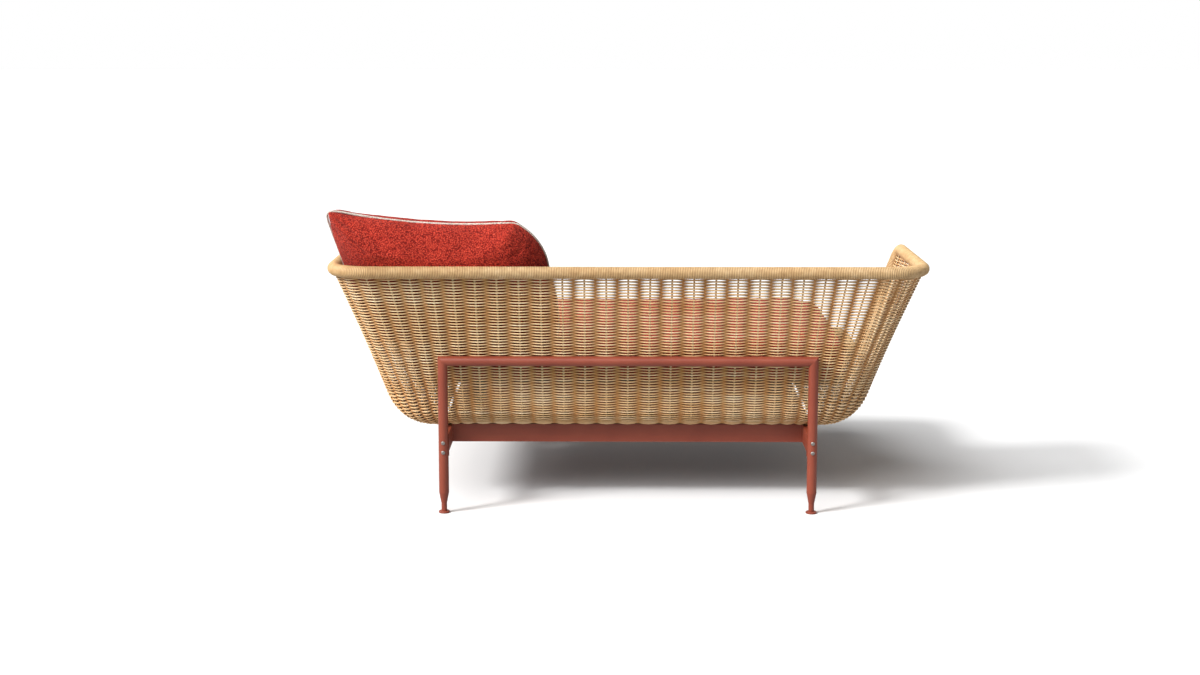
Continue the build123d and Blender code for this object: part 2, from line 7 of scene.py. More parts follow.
# %% Load the frame
import math
import bpy
import numpy as np
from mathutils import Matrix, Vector


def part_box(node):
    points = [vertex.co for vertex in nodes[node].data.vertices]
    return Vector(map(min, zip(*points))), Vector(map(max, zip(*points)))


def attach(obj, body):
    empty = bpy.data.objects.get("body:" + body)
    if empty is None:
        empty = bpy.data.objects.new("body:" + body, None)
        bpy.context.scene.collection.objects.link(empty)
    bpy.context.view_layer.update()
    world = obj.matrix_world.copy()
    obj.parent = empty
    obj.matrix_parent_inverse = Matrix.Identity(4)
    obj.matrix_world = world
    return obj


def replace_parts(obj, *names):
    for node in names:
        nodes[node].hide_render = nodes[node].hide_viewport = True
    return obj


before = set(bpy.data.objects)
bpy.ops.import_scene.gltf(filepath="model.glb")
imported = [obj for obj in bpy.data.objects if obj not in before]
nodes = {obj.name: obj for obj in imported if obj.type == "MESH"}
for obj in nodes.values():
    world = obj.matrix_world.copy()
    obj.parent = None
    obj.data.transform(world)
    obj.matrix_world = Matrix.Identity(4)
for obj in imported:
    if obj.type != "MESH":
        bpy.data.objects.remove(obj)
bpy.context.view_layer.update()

# %% [markdown]
# An operator works on all that is selected, so the first helper leaves one object selected and
# active. The others do what nearly every piece needs, from its modifiers to its material and body.

# %% Object helpers
def choose(piece):
    """Leaves one object selected and active."""
    bpy.ops.object.select_all(action="DESELECT")
    piece.select_set(True)
    bpy.context.view_layer.objects.active = piece


def apply_modifiers(piece):
    """Applies an object's modifiers, the first one first."""
    choose(piece)
    for modifier in list(piece.modifiers):
        bpy.ops.object.modifier_apply(modifier=modifier.name)


def linked(name, data):
    """A new object in the scene for a mesh, a curve, a lamp or a camera."""
    piece = bpy.data.objects.new(name, data)
    bpy.context.scene.collection.objects.link(piece)
    return piece


def smooth_mesh(curve_object):
    """Turns a curve with a bevel into a mesh with smooth shading."""
    choose(curve_object)
    bpy.ops.object.convert(target="MESH")
    bpy.ops.object.shade_smooth()
    return bpy.context.view_layer.objects.active


def merge_points(piece, distance):
    """Joins doubled points and turns all faces outwards."""
    choose(piece)
    bpy.ops.object.mode_set(mode="EDIT")
    bpy.ops.mesh.select_all(action="SELECT")
    bpy.ops.mesh.remove_doubles(threshold=distance)
    bpy.ops.mesh.normals_make_consistent(inside=False)
    bpy.ops.object.mode_set(mode="OBJECT")


def coat(name, finish):
    """Gives a CAD node its finish."""
    nodes[name].data.materials.clear()
    nodes[name].data.materials.append(finish)
    print(name, "gets", finish.name)


def made(piece, name, body, finish):
    """Names a finished piece, gives it its material and body, and says how large it is."""
    piece.name = name
    piece.data.materials.clear()
    piece.data.materials.append(finish)
    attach(piece, body)
    print(name, len(piece.data.polygons), "faces", [round(d, 3) for d in piece.dimensions])


# %% [markdown]
# The photograph looks at the back of the daybed from a little above, with a long lens. The camera
# is placed by the same measures that gave the daybed its size: the distance comes from how much
# smaller the front legs look than the rear ones.

# %% Camera
focal_length_pixels, picture_width_pixels = 1815.5, 1200
look_down, look_left = 0.1446, 0.0085
camera_data = bpy.data.cameras.new("photo_camera")
camera = linked("photo_camera", camera_data)
bpy.context.scene.camera = camera
camera.location = (-0.0344, -5.2335, 1.3483)
camera.rotation_euler = (math.pi / 2 - look_down, 0, look_left)
camera_data.sensor_width = 36
camera_data.lens = focal_length_pixels / picture_width_pixels * 36
camera_data.shift_y = -0.05
camera_data.clip_end = 200
print("lens", round(camera_data.lens, 1), "mm")

# %% [markdown]
# Finishes are built from nodes and read Object coordinates, so that they stick to the piece in any
# view. A few helpers add nodes and links, so that each finish below shows only its own idea.

# %% Node helpers
def linear(red, green, blue):
    """An 8-bit screen colour as the linear colour that shaders work in."""
    parts = [value / 255 for value in (red, green, blue)]
    return [v / 12.92 if v <= 0.04045 else ((v + 0.055) / 1.055) ** 2.4 for v in parts] + [1]


def shader_of(finish):
    """The main shader of a material."""
    return finish.node_tree.nodes["Principled BSDF"]


def new_finish(name, roughness, **sockets):
    """A new material, with the given sockets of its shader set."""
    finish = bpy.data.materials.new(name)
    finish.use_nodes = True
    shader_of(finish).inputs["Roughness"].default_value = roughness
    for socket, value in sockets.items():
        shader_of(finish).inputs[socket.replace("_", " ")].default_value = value
    print("new finish:", name)
    return finish


def add(finish, kind, **settings):
    """Adds a node, and sets its properties and its unlinked inputs."""
    node = finish.node_tree.nodes.new("ShaderNode" + kind)
    for name, value in settings.items():
        if hasattr(node, name):
            setattr(node, name, value)
        else:
            node.inputs[name.replace("_", " ")].default_value = value
    return node


def join(finish, source, target):
    """Links an output to an input."""
    finish.node_tree.links.new(source, target)


white = linear(255, 255, 255)
print("a screen grey of 128 is", round(linear(128, 128, 128)[0], 3), "in a shader")

# %% [markdown]
# A finish is a few patterns on top of each other. A noise gives a grey pattern, a colour ramp turns
# grey into colours, and one set of colours can darken another. A grey pattern also changes how
# rough the surface is, or raises and lowers it a little.

# %% Pattern helpers
def stretched(finish, scale):
    """Object coordinates, scaled differently along each axis."""
    place = add(finish, "TexCoord")
    mapping = add(finish, "Mapping", Scale=scale)
    join(finish, place.outputs["Object"], mapping.inputs["Vector"])
    return mapping.outputs["Vector"]


def grain(finish, scale, size, detail):
    """A grey noise. Scale stretches it, a higher size makes it finer."""
    noise = add(finish, "TexNoise", Scale=size, Detail=detail)
    join(finish, stretched(finish, scale), noise.inputs["Vector"])
    return noise.outputs["Fac"]


def tint(finish, factor, stops):
    """Turns a grey pattern into colours: stops are (place, colour)."""
    ramp = add(finish, "ValToRGB")
    elements = ramp.color_ramp.elements
    while len(elements) < len(stops):
        elements.new(0.5)
    for element, (place, colour) in zip(elements, stops):
        element.position = place
        element.color = colour
    join(finish, factor, ramp.inputs["Fac"])
    return ramp.outputs["Color"]


def darkened(finish, amount, first, second):
    """The first colours multiplied by the second, by the given amount."""
    mix = add(finish, "Mix", data_type="RGBA", blend_type="MULTIPLY")
    mix.inputs["Factor"].default_value = amount
    join(finish, first, mix.inputs["A"])
    join(finish, second, mix.inputs["B"])
    return mix.outputs["Result"]


def colour_of(finish, colour):
    """Paints the surface with a pattern of colours."""
    join(finish, colour, shader_of(finish).inputs["Base Color"])


def roughness_of(finish, factor, low, high):
    """Lets a grey pattern set the roughness, from low to high."""
    span = add(finish, "MapRange", To_Min=low, To_Max=high)
    join(finish, factor, span.inputs["Value"])
    join(finish, span.outputs["Result"], shader_of(finish).inputs["Roughness"])


def relief(finish, height, distance, strength, under=None):
    """Bumps the surface by a grey pattern; one relief can lie on top of another."""
    bump = add(finish, "Bump", Strength=strength, Distance=distance)
    join(finish, height, bump.inputs["Height"])
    if under:
        join(finish, under, bump.inputs["Normal"])
    join(finish, bump.outputs["Normal"], shader_of(finish).inputs["Normal"])
    return bump.outputs["Normal"]


# %% [markdown]
# The tube frame and its levelling feet have a satin terracotta powder coat. A powder coat is almost
# even in colour, with a faint orange-peel surface and a slow change from batch and dust, so two
# noises do: a broad one for the tone and a fine one for the peel.

# %% Terracotta powder coat
paint = new_finish(
    "terracotta_powder_coat", 0.42, Coat_Weight=0.08, Coat_Roughness=0.3, Specular_IOR_Level=0.4
)
cloud = grain(paint, (1, 1, 1), 9, 3)
colour_of(paint, tint(paint, cloud, [(0.3, linear(128, 56, 38)), (0.7, linear(140, 66, 46))]))
peel = grain(paint, (1, 1, 1), 900, 2)
roughness_of(paint, peel, 0.36, 0.5)
relief(paint, peel, 0.0002, 0.35)

feet = [name for name in nodes if name.startswith("foot_")]
for name in nodes:
    if name in feet or any(part in name for part in ("leg_", "_rail", "_beam", "cross_bar")):
        coat(name, paint)

# %% [markdown]
# The strands are solid synthetic cane. Each strand has its own tone, which changes a little along
# its length, and fine streaks run with it. The rows are level, so a noise that is stretched along
# the wall and as fine as the rows in height gives each strand its own tone. Little light gets in
# where a strand faces its neighbours, and that shade is painted: the weave stores how openly each
# point lies, as an attribute that is called exposure, and the finish darkens the strands by it.

# %% Woven cane
cane = new_finish("synthetic_cane", 0.55, Specular_IOR_Level=0.35)
row_tone = grain(cane, (2.2, 2.2, 120), 1, 1)
row_tones = [
    (0.25, linear(226, 189, 138)), (0.5, linear(244, 212, 166)), (0.78, linear(253, 236, 202))
]
cane_colour = tint(cane, row_tone, row_tones)
blotch = grain(cane, (1, 1, 1.6), 5, 3)
warmth = tint(cane, blotch, [(0.35, linear(246, 232, 214)), (0.65, white)])
cane_colour = darkened(cane, 0.8, cane_colour, warmth)
streak = grain(cane, (60, 60, 900), 1, 2)
streaks = tint(cane, streak, [(0.3, linear(214, 200, 184)), (0.62, white)])
cane_colour = darkened(cane, 0.6, cane_colour, streaks)
# Painted shade: the exposure attribute darkens the strands, to near black where they lie behind
# another strand.
exposure = add(cane, "Attribute", attribute_name="exposure")
painted_shade_stops = [
    (0.05, linear(48, 28, 16)), (0.3, linear(122, 90, 62)), (0.5, linear(206, 178, 144)),
    (0.8, white),
]
painted_strand_shade = tint(cane, exposure.outputs["Fac"], painted_shade_stops)
colour_of(cane, darkened(cane, 1.0, cane_colour, painted_strand_shade))
roughness_of(cane, streak, 0.48, 0.68)
relief(cane, streak, 0.0003, 0.5)

# %% [markdown]
# The strand that is wound round the rim is cane too. It is a little darker, because hands rest on
# it, and its tone changes from turn to turn in every direction. The grooves between the turns get
# painted shade: the winding stores how high a point lies on its turn, as an attribute that is
# called crown, and the finish darkens the low points.

# %% Cane round the rim
wound_cane = new_finish("wound_cane", 0.55, Specular_IOR_Level=0.35)
turn_tone = grain(wound_cane, (60, 60, 60), 1, 1)
turn_tones = [
    (0.25, linear(190, 158, 114)), (0.5, linear(204, 173, 128)), (0.78, linear(216, 188, 146))
]
wound_colour = tint(wound_cane, turn_tone, turn_tones)
wear = grain(wound_cane, (4, 4, 4), 1, 3)
worn = tint(wound_cane, wear, [(0.35, linear(248, 238, 224)), (0.65, white)])
wound_colour = darkened(wound_cane, 0.8, wound_colour, worn)
# Painted shade in the grooves: the low points of each turn are darkened by the crown attribute.
crown = add(wound_cane, "Attribute", attribute_name="crown")
groove_shade_stops = [(0.0, linear(138, 110, 84)), (0.6, linear(238, 230, 220)), (0.95, white)]
painted_groove_shade = tint(wound_cane, crown.outputs["Fac"], groove_shade_stops)
colour_of(wound_cane, darkened(wound_cane, 1.0, wound_colour, painted_groove_shade))
scratch = grain(wound_cane, (1, 1, 1), 700, 2)
roughness_of(wound_cane, scratch, 0.48, 0.66)
relief(wound_cane, scratch, 0.0002, 0.4)

# %% [markdown]
# The stakes, the tube in the rim and the base ring are coated in the cane's own colour, so that
# they hardly show between the strands. A soft cloud of two tones and a fine bump are enough.

# %% Tan coat on the carcass
tan_coat = new_finish("tan_coat", 0.5)
tan_cloud = grain(tan_coat, (1, 1, 1), 40, 3)
tan_tones = [(0.3, linear(206, 176, 132)), (0.7, linear(224, 196, 152))]
colour_of(tan_coat, tint(tan_coat, tan_cloud, tan_tones))
relief(tan_coat, grain(tan_coat, (1, 1, 1), 1200, 2), 0.0002, 0.3)

for name in nodes:
    if "stakes" in name or name in ("rim_tube", "base_ring"):
        coat(name, tan_coat)

# %% [markdown]
# The tub is one continuous surface. Its plan is a rounded rectangle at the rim and a smaller one at
# the knees, where the wall bends into the floor, and straight stakes join the two. The weave
# follows this surface, so it is worked out here once: a grid with four columns to each stake and
# one row to each strand. The two slopes say how far the wall leans out for each metre of height.

# %% Plan of the tub
rim_height, low_rim_height = 0.671, 0.345
tub_half_width, tub_half_depth = 0.792, 0.560
rim_corner, knee_corner, ring_corner = 0.104, 0.100, 0.100
back_slope, end_slope = 0.375, 0.336
back_bend, end_bend = 0.075, 0.140
back_floor_run, end_floor_run = 0.054, 0.106
floor_height = 0.2208
tub_forward = 0.061125  # from the model's origin to the middle of the tub
stakes_per_quarter = 22.5
columns_per_stake = 4
quarter_columns = round(stakes_per_quarter * columns_per_stake)
column_count = 4 * quarter_columns
wall_drop = rim_height - floor_height
knee_half_width = tub_half_width - end_slope * wall_drop
knee_half_depth = tub_half_depth - back_slope * wall_drop
floor_half_width = knee_half_width - end_floor_run
floor_half_depth = knee_half_depth - back_floor_run


def plan_point(distance, half_width, half_depth, corner):
    """Point at a distance from the middle of the back, along a quarter of a rounded rectangle."""
    straight = half_width - corner
    arc = corner * math.pi / 2
    if distance <= straight:
        return Vector((distance, -half_depth))
    if distance <= straight + arc:
        turn = (distance - straight) / corner
        x = straight + corner * math.sin(turn)
        return Vector((x, -half_depth + corner * (1 - math.cos(turn))))
    return Vector((half_width, -half_depth + corner + distance - straight - arc))


def quarter_length(half_width, half_depth, corner):
    """Length of a quarter of a rounded rectangle."""
    return half_width + half_depth + corner * (math.pi / 2 - 2)


rim_quarter = quarter_length(tub_half_width, tub_half_depth, rim_corner)
knee_quarter = quarter_length(knee_half_width, knee_half_depth, knee_corner)
stake_pitch = rim_quarter / stakes_per_quarter
print("stake pitch", round(stake_pitch * 1000, 2), "mm, columns", column_count)

# %% [markdown]
# Past the straight part of the back, the knees lie closer together than the rim ends, so the stakes
# fan out round each corner. The crowding is greatest at the corner and fades out on both sides. It
# follows the fourth power of a cosine, whose mean is 3/8, so its sum has a plain formula.

# %% Fan of the stakes
fan_start, fan_margin = 0.300, 0.100
cosine_mean = 3 / 8


def knee_distance(distance):
    """How far along the knees a stake stands, for its distance along the rim."""
    fan = rim_quarter - fan_start - fan_margin
    knee_fan = knee_quarter - fan_start - fan_margin
    share = (distance - fan_start) / fan
    if share <= 0:
        return distance
    if share >= 1:
        return knee_quarter - (rim_quarter - distance)
    least = (knee_fan / fan - cosine_mean) / (1 - cosine_mean)
    crowd = cosine_mean * share + math.sin(2 * math.pi * share) / (4 * math.pi)
    crowd += math.sin(4 * math.pi * share) / (32 * math.pi)
    return fan_start + fan * (least * share + (1 - least) * crowd)


print("knee of the corner stake", round(knee_distance(tub_half_width), 3), "m from the middle")

# %% [markdown]
# The foot of a stake ends just outside the base ring. How far in that is depends on the stake's
# direction, so the place is found by halving a range again and again. Round the corner, the bend
# of the floor grows from the back's radius to the end's.

# %% Ends of a stake
ring_clearance, halvings = 0.0012, 30


def outside_ring(point):
    """How far a point of the floor lies outside the base ring."""
    across = abs(point.x) - (floor_half_width - ring_corner)
    along = abs(point.y) - (floor_half_depth - ring_corner)
    outer = math.hypot(max(across, 0), max(along, 0))
    return outer + min(max(across, along), 0) - ring_corner


def stake_ends(distance):
    """Rim end, knee and foot of a stake's line, and the radius of its bend."""
    rim = plan_point(distance, tub_half_width, tub_half_depth, rim_corner)
    knee = plan_point(knee_distance(distance), knee_half_width, knee_half_depth, knee_corner)
    inward = (knee - rim).normalized()
    near, far = 0, 2 * (back_floor_run + end_floor_run)
    for _ in range(halvings):
        middle = (near + far) / 2
        if outside_ring(knee + inward * middle) > ring_clearance:
            near = middle
        else:
            far = middle
    foot = knee + inward * near
    share = (distance - tub_half_width + 2 * rim_corner) / (4 * rim_corner)
    share = min(max(share, 0), 1)
    weight = share * share * (3 - 2 * share)
    bend = back_bend * (1 - weight) + end_bend * weight
    return rim.to_3d() + Vector((0, 0, rim_height)), knee.to_3d(), foot.to_3d(), bend


print("foot of the first stake", [round(v, 3) for v in stake_ends(0)[2]])

# %% [markdown]
# A column of the grid follows a stake's line: straight down the wall, round the bend, and level to
# the base ring. On the wall, the rows are level, so they are placed by height. Round the bend there
# is no height to follow, and the rows share out the length that is left.

# %% Path of one column
strand_radius, strand_swing = 0.0022, 0.0039
row_pitch, first_row_drop, wall_row_count, bend_row_count = 0.00405, 0.0150, 84, 37
wall_rows = [rim_height - first_row_drop - index * row_pitch for index in range(wall_row_count)]


def column_points(distance):
    """One point for each row, from the rim down to the base ring."""
    rim, knee, foot, bend = stake_ends(distance)
    knee.z = foot.z = floor_height
    down, inward = (knee - rim).normalized(), (foot - knee).normalized()
    turn = math.acos(down.dot(inward))
    run = bend * math.tan(turn / 2)
    centre = knee + (inward - down).normalized() * (bend / math.cos(turn / 2))
    straight = (knee - rim).length - run
    arc = bend * turn
    floor_run = max((foot - knee).length - run, 0)

    def at(length):
        if length <= straight:
            return rim + down * length
        if length <= straight + arc:
            angle = (length - straight) / bend
            start = knee - down * run - centre
            return centre + start * math.cos(angle) + down * bend * math.sin(angle)
        return knee + inward * (run + length - straight - arc)

    share = (knee - rim).length / wall_drop
    points = [at((rim_height - height) * share) for height in wall_rows]
    first = (rim_height - wall_rows[-1]) * share
    last = straight + arc + floor_run
    points += [at(first + (last - first) * (i + 1) / bend_row_count) for i in range(bend_row_count)]
    return points


quarter = np.array([
    column_points(column * stake_pitch / columns_per_stake) for column in range(quarter_columns + 1)
])
row_count = quarter.shape[1]
print("rows", row_count, "columns", column_count)

# %% [markdown]
# The tub is the same on both sides and at the back and the front, so a quarter of the grid is
# mirrored to make the whole. Its outward normals say where outside is. A strand swings out over
# one stake and in behind the next, as a cosine does, and the next row swings the other way.

# %% Whole grid
mirror_x, mirror_y = np.array([-1, 1, 1]), np.array([1, -1, 1])
grid = np.concatenate([
    quarter[:quarter_columns],
    (quarter * mirror_y)[quarter_columns:0:-1],
    (quarter * mirror_x * mirror_y)[:quarter_columns],
    (quarter * mirror_x)[quarter_columns:0:-1],
])
around = np.roll(grid, -1, axis=0) - np.roll(grid, 1, axis=0)
downwards = np.gradient(grid, axis=1)
outward = np.cross(downwards, around)
outward /= np.linalg.norm(outward, axis=2, keepdims=True)
stake_turn = np.pi * np.arange(column_count)[:, None] / columns_per_stake
swing = np.cos(stake_turn + np.pi * np.arange(row_count)[None, :])
woven = grid + outward * (swing * strand_swing)[:, :, None]
woven = np.concatenate([woven, swing[:, :, None], outward], axis=2)
row_gap = np.linalg.norm(downwards, axis=2)
fullness = np.maximum(row_gap / (row_pitch * math.hypot(1, back_slope)), 1)
print("outward at the back:", [round(float(v), 2) for v in outward[0, 10]])

# %% [markdown]
# The rim is a bent tube: level round the back and the arms, sloping down the front of each arm, and
# low along the front. Its centre line is needed twice, to end the strands at the arms and to carry
# the winding. A helper rounds the corners of the line with arcs.

# %% Centre line of the rim
arm_length, arm_slope_run = 0.507, 0.082
arm_top_corner, arm_foot_corner, corner_steps = 0.045, 0.070, 12


def rounded(points, radii, steps):
    """A line through the points whose inner corners are arcs of the given radii."""
    line = [points[0]]
    for before, corner, after, radius in zip(points, points[1:], points[2:], radii):
        incoming, outgoing = (corner - before).normalized(), (after - corner).normalized()
        turn = incoming.angle(outgoing)
        run = radius * math.tan(turn / 2)
        centre = corner + (outgoing - incoming).normalized() * (radius / math.cos(turn / 2))
        start = corner - incoming * run - centre
        for index in range(steps + 1):
            angle = turn * index / steps
            line.append(centre + start * math.cos(angle) + incoming * radius * math.sin(angle))
    return line + [points[-1]]


low_drop = rim_height - low_rim_height
low_half_width = tub_half_width - end_slope * low_drop
low_half_depth = tub_half_depth - back_slope * low_drop
arm_end = -tub_half_depth + arm_length
low_corner = rim_corner + (knee_corner - rim_corner) * low_drop / wall_drop
half_rim = rounded(
    [
        Vector((0, -tub_half_depth, rim_height)),
        Vector((tub_half_width, -tub_half_depth, rim_height)),
        Vector((tub_half_width, arm_end, rim_height)),
        Vector((low_half_width, arm_end + arm_slope_run, low_rim_height)),
        Vector((low_half_width, low_half_depth, low_rim_height)),
        Vector((0, low_half_depth, low_rim_height)),
    ],
    [rim_corner, arm_top_corner, arm_foot_corner, low_corner],
    corner_steps,
)
half_rim_length = sum((after - before).length for before, after in zip(half_rim, half_rim[1:]))
print("half of the rim is", round(half_rim_length, 3), "m long")

# %% [markdown]
# At the arms, a row of the end wall stops inside the winding of the rim. The rim's line there gives
# the place for each height. A row that is cut off twice leaves two runs, so a list of runs comes
# back. A panel's rows lap a little over the next panel's, so that no gap shows between them.

# %% Where the rows end
arm_zone_end = 0.2
rim_overlap, rim_inset = 0.012, 0.011
lap_share = 0.08
arm_front = [p for p in half_rim if low_rim_height < p.z < rim_height and p.y < arm_zone_end]
arm_front_heights = np.array([point.z for point in arm_front][::-1])
arm_front_edges = np.array([point.y for point in arm_front][::-1])


def row_limit(height):
    """How far forward a row of the end wall reaches before it meets the arm's front edge."""
    if height < low_rim_height - rim_overlap:
        return None
    return float(np.interp(height, arm_front_heights, arm_front_edges)) - rim_inset


def strand_runs(row, first, last):
    """Points of one row between two columns, cut off at the rim."""
    run = [woven[column % column_count, row] for column in range(first, last + 1)]
    run[0] = run[0] + (woven[(first - 1) % column_count, row] - run[0]) * lap_share
    run[-1] = run[-1] + (woven[(last + 1) % column_count, row] - run[-1]) * lap_share
    limit = row_limit(float(grid[0, row, 2])) if row < wall_row_count else None
    if limit is None:
        return [run]
    kept = []
    piece = []
    for before, after in zip([None] + run[:-1], run):
        inside = after[1] < limit
        was_inside = before is not None and before[1] < limit
        if before is not None and inside != was_inside:
            share = (limit - before[1]) / (after[1] - before[1])
            piece.append(before + (after - before) * share)
            if was_inside:
                kept.append(piece)
                piece = []
        if inside:
            piece.append(after)
    if len(piece) > 1:
        kept.append(piece)
    return kept


print("the top row ends at", round(row_limit(wall_rows[0]), 3))

# %% [markdown]
# NumPy reads and writes all points of a mesh at once, which is much faster than a loop. The first
# use is the exposure of the weave. A bevelled curve lists its points ring by ring, so the strand's
# own point and its outward direction are known for each ring: a point on the outer side of a
# strand that swings out lies open, and one that faces the next strand does not.

# %% Points of a mesh, and exposure
def points_of(mesh):
    """All points of a mesh as an array of x, y, z."""
    flat = np.empty(len(mesh.vertices) * 3)
    mesh.vertices.foreach_get("co", flat)
    return flat.reshape(-1, 3)


def put_points(mesh, points):
    """Moves all points of a mesh to new places."""
    mesh.vertices.foreach_set("co", np.ascontiguousarray(points).ravel())
    mesh.update()


def mark_exposure(panel, samples):
    """Stores how openly each point lies: 1 on the crown over a stake, 0 behind another strand."""
    centres = samples[:, None, :3] + (0, tub_forward, 0)
    offset = points_of(panel.data).reshape(len(samples), -1, 3) - centres
    facing = (offset * samples[:, None, 4:]).sum(axis=2) / np.linalg.norm(offset, axis=2)
    share = 0.5 + 0.5 * samples[:, None, 3] * facing
    layer = panel.data.attributes.new("exposure", "FLOAT", "POINT")
    layer.data.foreach_set("value", share.astype(np.float32).ravel())
    print(panel.name, "exposure", round(float(share.min()), 2), "to", round(float(share.max()), 2))


# %% [markdown]
# Each row of the weave is one strand that passes outside one stake and inside the next, and the
# rows take turns. A strand is drawn as a curve through its column points, and a round bevel gives
# the curve its thickness. Round the bend the rows spread, so the strands there are a little fuller.
# The rows of a panel share one curve object, which becomes one mesh. The columns are counted from
# the middle of the back.

# %% Weave the panels
def woven_panel(name, first, last):
    """All strands between two columns, as one mesh."""
    curve = bpy.data.curves.new(name, "CURVE")
    curve.dimensions = "3D"
    curve.bevel_depth = strand_radius
    curve.bevel_resolution = 1
    samples = []
    for row in range(row_count):
        for run in strand_runs(row, first, last):
            spline = curve.splines.new("POLY")
            spline.points.add(len(run) - 1)
            samples.append(np.array(run))
            places = np.ones((len(run), 4))
            places[:, :3] = samples[-1][:, :3] + (0, tub_forward, 0)
            spline.points.foreach_set("co", places.ravel())
            if row >= wall_row_count:
                widths = [fullness[column % column_count, row] for column in range(first, last + 1)]
                spline.points.foreach_set("radius", widths)
    panel = smooth_mesh(linked(name, curve))
    mark_exposure(panel, np.concatenate(samples))
    made(panel, name, "frame", cane)
    return panel


panels = [
    ("strands_back", "back_weave", -44, 44),
    ("strands_rear_corner_right", "rear_corner_weave_right", 44, 64),
    ("strands_end_right", "end_weave_right", 64, 116),
    ("strands_front_corner_right", "front_corner_weave_right", 116, 136),
    ("strands_front", "front_weave", 136, 224),
    ("strands_front_corner_left", "front_corner_weave_left", 224, 244),
    ("strands_end_left", "end_weave_left", 244, 296),
    ("strands_rear_corner_left", "rear_corner_weave_left", 296, 316),
]
for name, node, first, last in panels:
    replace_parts(woven_panel(name, first, last), node)

# %% [markdown]
# A strand is wound tightly round the rim tube, turn beside turn. Winding is what the Screw modifier
# does: it turns a small profile round an axis and moves it along by one strand with each turn. The
# straight winding is then laid along the closed rim line by a Curve modifier, so that line comes
# first, as a guide that is removed afterwards.

# %% Guide line of the rim
rim_points = half_rim + [Vector((-p.x, p.y, p.z)) for p in reversed(half_rim[1:-1])]
rim_curve = bpy.data.curves.new("rim_guide", "CURVE")
rim_curve.dimensions = "3D"
guide_spline = rim_curve.splines.new("POLY")
guide_spline.points.add(len(rim_points) - 1)
for point, place in zip(guide_spline.points, rim_points):
    point.co = (place.x, place.y + tub_forward, place.z, 1)
guide_spline.use_cyclic_u = True
guide = linked("rim_guide", rim_curve)
rim_length = guide_spline.calc_length()
turn_count = round(rim_length / (2 * strand_radius))
print("rim", round(rim_length, 3), "m, turns", turn_count)

# %% [markdown]
# The profile is the top of one strand: low in the grooves on both sides and rounded to a crest
# between them. Its heights are radii round the rim's line. The crown value of each point is stored
# on the profile, and the Screw modifier carries it along to every turn.

# %% Wind the rim
groove, shoulder, crest = 0.0150, 0.01672, 0.0171
facets_per_turn, end_gap, seam_gap = 14, 0.0001, 0.0002
turn_width = rim_length / turn_count
profile_points = [(0, groove), (0.22, shoulder), (0.5, crest), (0.78, shoulder), (1, groove)]
profile = bpy.data.meshes.new("rim_winding")
profile.from_pydata(
    [(x * turn_width, 0, z) for x, z in profile_points], [(i, i + 1) for i in range(4)], []
)
crown_layer = profile.attributes.new("crown", "FLOAT", "POINT")
crown_layer.data.foreach_set("value", [(z - groove) / (crest - groove) for _, z in profile_points])
winding = linked("rim_winding", profile)
screw = winding.modifiers.new("turns", "SCREW")
screw.axis = "X"
screw.screw_offset = turn_width
screw.iterations = turn_count
screw.steps = screw.render_steps = facets_per_turn
screw.use_merge_vertices = True
screw.merge_threshold = end_gap
lay = winding.modifiers.new("along_rim", "CURVE")
lay.object = guide
lay.deform_axis = "POS_X"
apply_modifiers(winding)
merge_points(winding, seam_gap)
bpy.ops.object.shade_smooth()
bpy.data.objects.remove(guide)
made(winding, "rim_winding", "frame", wound_cane)
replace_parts(winding, *[name for name in nodes if name.startswith("rim_wrap")])

# %% [markdown]
# The mattress and the pillow are stuffed, so cloth simulation gives them their form. Each starts
# from its CAD solid, slightly shrunk. A voxel remesh makes an even net, the seam is held still, air
# pressure swells the rest for twenty frames, and no point may travel more than a set distance.

# %% Swell a cushion with cloth
swell_frames = 20


def merged_copy(node, name):
    """A copy of a CAD node with its loose triangles joined."""
    copy = linked(name, nodes[node].data.copy())
    merge_points(copy, 0.00005)
    return copy


def remesh(piece, voxel, smoothing):
    """An even net over the piece, with its edges softened."""
    net = piece.modifiers.new("net", "REMESH")
    net.mode = "VOXEL"
    net.voxel_size = voxel
    soften = piece.modifiers.new("soften", "SMOOTH")
    soften.factor = 0.5
    soften.iterations = smoothing
    apply_modifiers(piece)
    print(piece.name, "net of", len(piece.data.vertices), "points")


def swell(piece, held, pressure, reach, limit_move):
    """Blows the piece up. Held is 1 where it stays, and no move is longer than reach."""
    start = points_of(piece.data)
    group = piece.vertex_groups.new(name="seam")
    for index in np.nonzero(held > 0.01)[0]:
        group.add([int(index)], float(held[index]), "REPLACE")
    cloth = piece.modifiers.new("cloth", "CLOTH")
    cloth.settings.vertex_group_mass = "seam"
    cloth.settings.use_pressure = True
    cloth.settings.uniform_pressure_force = pressure
    cloth.settings.effector_weights.gravity = 0
    cloth.settings.quality = 5
    cloth.point_cache.frame_end = swell_frames
    for number in range(1, swell_frames + 1):
        bpy.context.scene.frame_set(number)
    apply_modifiers(piece)
    bpy.context.scene.frame_set(1)
    move = points_of(piece.data) - start
    length = np.linalg.norm(move, axis=1, keepdims=True)
    move *= np.minimum(1, reach / np.maximum(length, 1e-9))
    put_points(piece.data, start + limit_move(start, move))
    print(piece.name, "swells by up to", round(float(length.max()) * 1000, 1), "mm before the cap")


def one_subdivision(piece):
    """Rounds the net once more."""
    smooth = piece.modifiers.new("smooth", "SUBSURF")
    smooth.levels = smooth.render_levels = 1
    apply_modifiers(piece)
    bpy.ops.object.shade_smooth()
